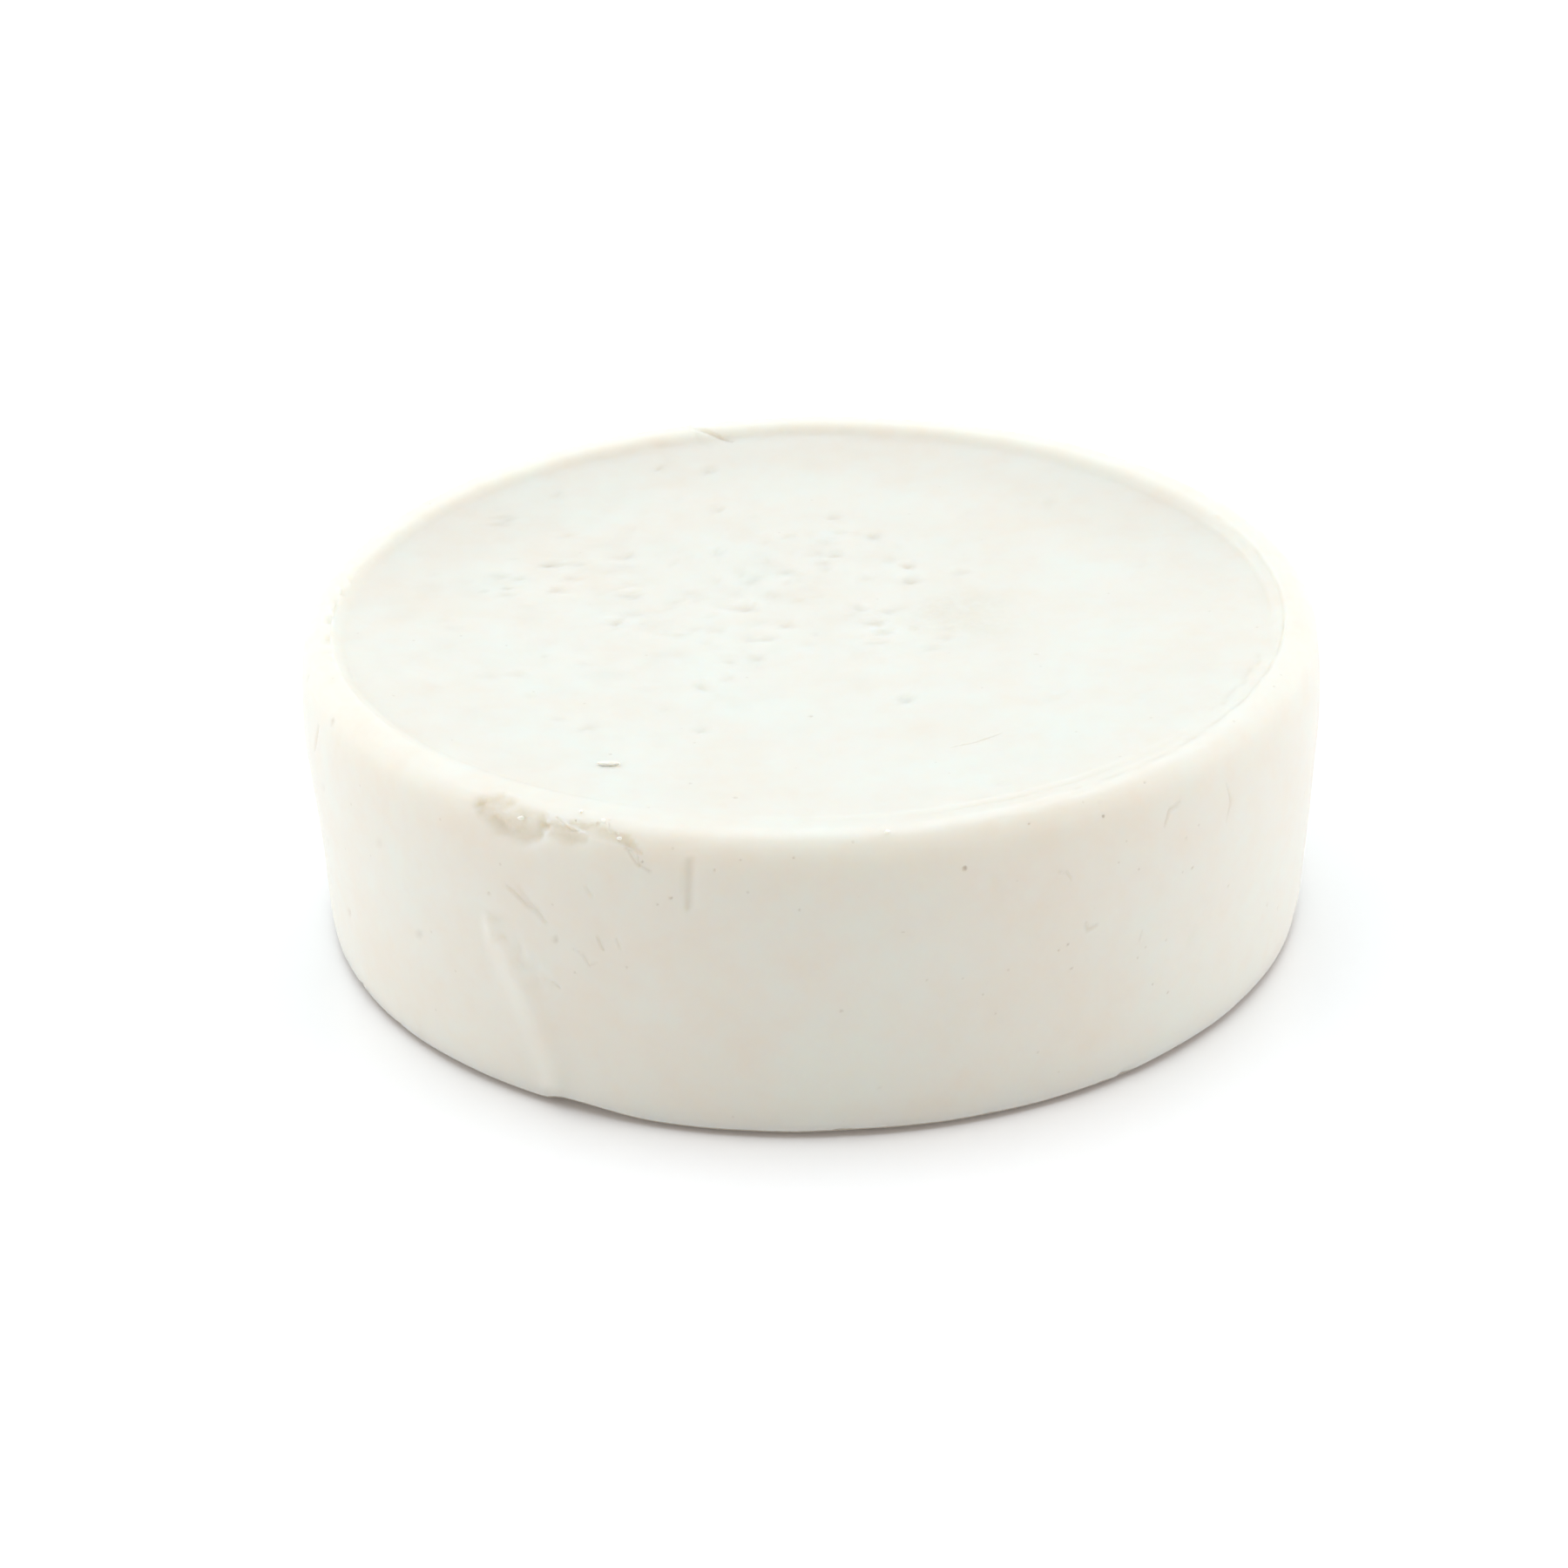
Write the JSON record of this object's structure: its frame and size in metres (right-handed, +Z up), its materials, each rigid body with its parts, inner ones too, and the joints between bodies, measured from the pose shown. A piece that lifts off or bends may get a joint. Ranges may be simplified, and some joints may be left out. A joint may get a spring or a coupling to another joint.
{
  "type": "shaving soap puck",
  "caption": "Round cake of cream-white shaving soap: short tapered disc with a rounded raised rim, a shallow dished top and small chips.",
  "frame": {"origin": "centre of the base, on the surface that the puck stands on", "axes": "+Z up along the puck's axis, -Y towards the chipped front of the rim, +X to the right seen from the front"},
  "size_m": [0.0758, 0.0758, 0.0241],
  "materials": {
    "soap": "waxy satin, cream white",
    "soap_fragment": "dry matt, cream white"
  },
  "bodies": {
    "root": {"soap_cake": "soap", "surface_flake": "soap_fragment", "edge_crumbs": "soap_fragment"}
  },
  "joints": []
}
